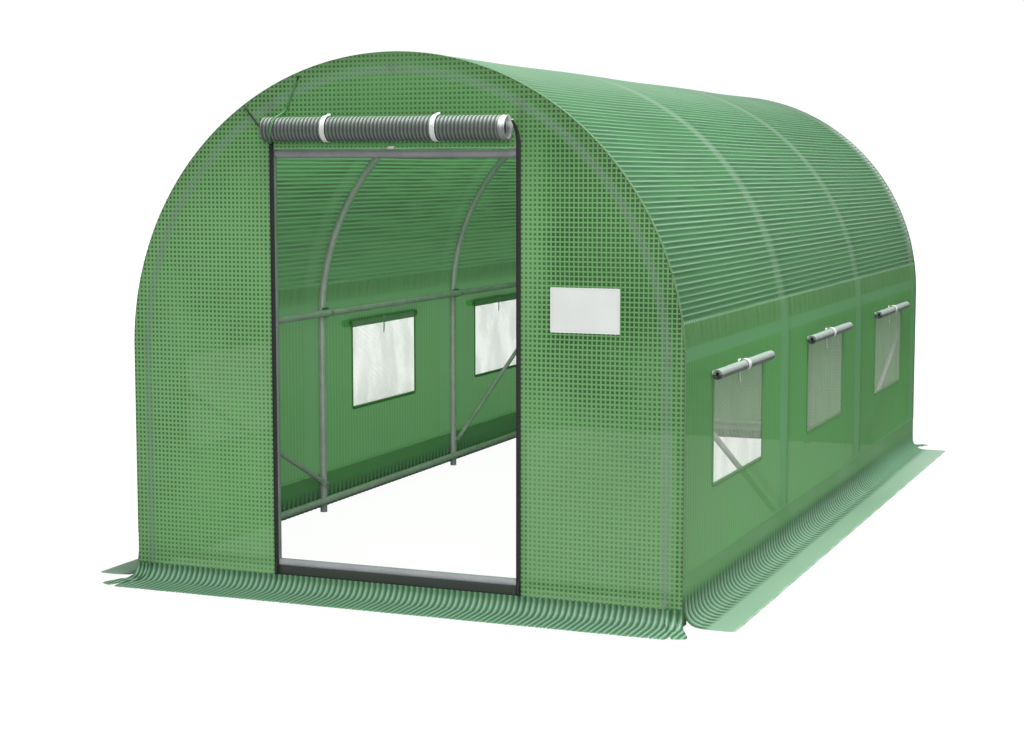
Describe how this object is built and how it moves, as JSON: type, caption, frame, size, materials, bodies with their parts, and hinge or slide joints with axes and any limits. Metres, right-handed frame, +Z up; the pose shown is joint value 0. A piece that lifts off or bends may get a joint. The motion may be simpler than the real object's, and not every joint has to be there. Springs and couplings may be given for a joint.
{
  "type": "polytunnel greenhouse",
  "caption": "Round-topped garden polytunnel: galvanised tube hoops under a green reinforced film cover, rolled-up zip door, netted side windows with rolled flaps, and ground skirts.",
  "frame": {"origin": "middle of the plan on the ground", "axes": "+X to the right seen from the door, +Y along the tunnel to the back, +Z up"},
  "size_m": [2.58, 4.88, 1.9948],
  "materials": {
    "steel_tube": "satin",
    "grey_plastic": "satin",
    "roof_film": "satin",
    "wall_film": "satin",
    "skirt_film": "satin",
    "window_net": "matte",
    "rolled_film": "satin",
    "black_zip": "matte",
    "white_tape": "matte",
    "white_panel": "satin"
  },
  "bodies": {
    "root": {"door_header": "steel_tube", "door_roll": "rolled_film", "door_roll_straps": "white_tape", "door_sill_hem": "black_zip", "door_tie_cord": "black_zip", "front_base_rail": "steel_tube", "front_skirt": "skirt_film", "front_wall_left": "wall_film", "front_wall_over_door": "wall_film", "front_wall_right": "wall_film", "hoop_front": "steel_tube", "hoop_rear": "steel_tube", "hoop_second": "steel_tube", "hoop_third": "steel_tube", "left_base_rail": "steel_tube", "left_braces": "steel_tube", "left_door_post": "steel_tube", "left_door_zip": "black_zip", "left_legs": "steel_tube", "left_rail_saddles": "grey_plastic", "left_side_rail": "steel_tube", "left_side_wall": "wall_film", "left_skirt": "skirt_film", "left_window_nets": "window_net", "left_window_rolls": "rolled_film", "left_window_ties": "white_tape", "name_panel": "white_panel", "rear_base_rail": "steel_tube", "rear_crossbar": "steel_tube", "rear_left_post": "steel_tube", "rear_right_post": "steel_tube", "rear_skirt": "skirt_film", "rear_wall": "wall_film", "ridge_rail": "steel_tube", "ridge_saddles": "grey_plastic", "right_base_rail": "steel_tube", "right_braces": "steel_tube", "right_door_post": "steel_tube", "right_door_zip": "black_zip", "right_legs": "steel_tube", "right_rail_saddles": "grey_plastic", "right_side_rail": "steel_tube", "right_side_wall": "wall_film", "right_skirt": "skirt_film", "right_window_nets": "window_net", "right_window_rolls": "rolled_film", "right_window_ties": "white_tape", "roof_cover": "roof_film"}
  },
  "joints": []
}
